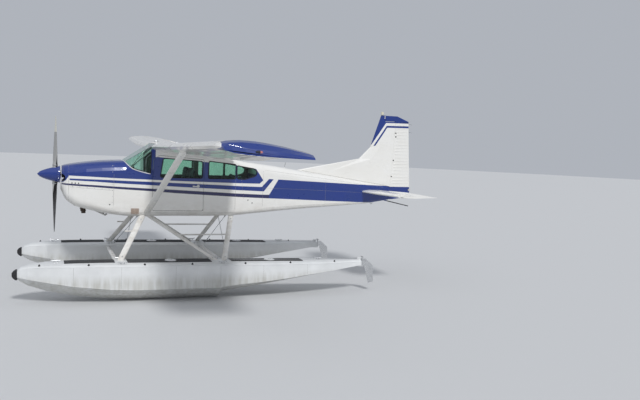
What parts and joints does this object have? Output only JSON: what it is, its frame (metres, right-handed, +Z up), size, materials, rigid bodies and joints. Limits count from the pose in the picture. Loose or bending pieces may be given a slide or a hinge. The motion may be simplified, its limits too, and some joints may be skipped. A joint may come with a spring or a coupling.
{
  "type": "high-wing single-engine floatplane",
  "caption": "Strut-braced high-wing single-engine aircraft on twin floats, with opening cabin doors, turning propeller, hinged flaps and control surfaces, and steerable water rudders.",
  "frame": {"origin": "centre of the footprint, on the ground under the float keels", "axes": "+X aft along the fuselage, +Y to starboard along the wing, +Z up"},
  "size_m": [8.248, 10.9, 3.714],
  "materials": {
    "white_paint": "gloss white enamel on riveted sheet",
    "blue_paint": "gloss royal blue enamel",
    "blade_black": "satin black with grey faces",
    "bare_metal": "plain bright metal",
    "engine": "dull cast metal",
    "exhaust": "heat stained",
    "clear_glazing": "clear, slightly green",
    "cream_lens": "glossy cream lens",
    "panel_black": "wrinkle black",
    "seat_cloth": "woven cloth with piping"
  },
  "bodies": {
    "airframe": {"engine_block": "engine", "exhaust_pipes": "exhaust", "cowling": "white_paint", "cabin_shell": "white_paint", "tail_cone": "white_paint", "fin": "white_paint", "stabilizer": "white_paint", "windshield": "clear_glazing", "beacon_lamp": "cream_lens", "instrument_panel": "panel_black", "front_seat_left": "seat_cloth", "front_seat_right": "seat_cloth", "rear_bench": "seat_cloth", "wing_left": "white_paint", "float_left": "white_paint", "front_float_strut_left": "white_paint", "rear_float_strut_left": "white_paint", "diagonal_strut_left": "white_paint", "wing_strut_left": "white_paint", "middle_window_left": "clear_glazing", "rear_window_left": "clear_glazing", "wing_tip_left": "blue_paint", "front_wire_to_left": "bare_metal", "rear_wire_to_left": "bare_metal", "wing_right": "white_paint", "float_right": "white_paint", "front_float_strut_right": "white_paint", "rear_float_strut_right": "white_paint", "diagonal_strut_right": "white_paint", "wing_strut_right": "white_paint", "middle_window_right": "clear_glazing", "rear_window_right": "clear_glazing", "wing_tip_right": "blue_paint", "front_wire_to_right": "bare_metal", "rear_wire_to_right": "bare_metal", "front_spreader_bar": "white_paint", "rear_spreader_bar": "white_paint"},
    "propeller": {"spinner": "blue_paint", "propeller": "blade_black"},
    "rudder": {"rudder": "white_paint"},
    "elevator": {"elevator": "white_paint"},
    "flap_left": {"flap_left": "white_paint"},
    "aileron_left": {"aileron_left": "white_paint"},
    "door_left": {"door_left": "white_paint", "door_glass_left": "clear_glazing"},
    "water_rudder_left": {"water_rudder_left": "bare_metal"},
    "flap_right": {"flap_right": "white_paint"},
    "aileron_right": {"aileron_right": "white_paint"},
    "door_right": {"door_right": "white_paint", "door_glass_right": "clear_glazing"},
    "water_rudder_right": {"water_rudder_right": "bare_metal"}
  },
  "joints": [
    {"name": "propeller_spin", "type": "hinge", "parent": "airframe", "child": "propeller", "pos_m": [-3.434, 0, 2.17], "axis": [1, 0, 0], "continuous": true},
    {"name": "rudder_turn", "type": "hinge", "parent": "airframe", "child": "rudder", "pos_m": [3.598, 0, 2.049], "axis": [0.0716, 0, 0.9974], "range_deg": [-24, 24]},
    {"name": "elevator_turn", "type": "hinge", "parent": "airframe", "child": "elevator", "pos_m": [3.376, 0, 1.95], "axis": [0, 1, 0], "range_deg": [-26, 24]},
    {"name": "flap_left_turn", "type": "hinge", "parent": "airframe", "child": "flap_left", "pos_m": [-0.56652, -0.56, 2.64209], "axis": [-0.0073, 0.9996, -0.0267], "range_deg": [0, 40]},
    {"name": "aileron_left_turn", "type": "hinge", "parent": "airframe", "child": "aileron_left", "pos_m": [-0.5521, -2.54, 2.69505], "axis": [0.0137, 0.9983, -0.0572], "range_deg": [-20, 15]},
    {"name": "door_left_hinge", "type": "hinge", "parent": "airframe", "child": "door_left", "pos_m": [-1.686, -0.56, 2.04], "axis": [0, 0, -1], "range_deg": [0, 75]},
    {"name": "water_rudder_left_turn", "type": "hinge", "parent": "airframe", "child": "water_rudder_left", "pos_m": [2.438, -1.28, 0.6], "axis": [0, 0, 1], "range_deg": [-30, 30]},
    {"name": "flap_right_turn", "type": "hinge", "parent": "airframe", "child": "flap_right", "pos_m": [-0.56652, 0.56, 2.64209], "axis": [0.0073, 0.9996, 0.0267], "range_deg": [0, 40]},
    {"name": "aileron_right_turn", "type": "hinge", "parent": "airframe", "child": "aileron_right", "pos_m": [-0.5521, 2.54, 2.69505], "axis": [-0.0137, 0.9983, 0.0572], "range_deg": [-15, 20]},
    {"name": "door_right_hinge", "type": "hinge", "parent": "airframe", "child": "door_right", "pos_m": [-1.686, 0.56, 2.04], "axis": [0, 0, 1], "range_deg": [0, 75]},
    {"name": "water_rudder_right_turn", "type": "hinge", "parent": "airframe", "child": "water_rudder_right", "pos_m": [2.438, 1.28, 0.6], "axis": [0, 0, 1], "range_deg": [-30, 30]}
  ],
  "couplings": [
    {"joint": "flap_right_turn", "follows": "flap_left_turn", "ratio": 1},
    {"joint": "aileron_right_turn", "follows": "aileron_left_turn", "ratio": -1},
    {"joint": "water_rudder_left_turn", "follows": "rudder_turn", "ratio": 1.2},
    {"joint": "water_rudder_right_turn", "follows": "rudder_turn", "ratio": 1.2}
  ]
}
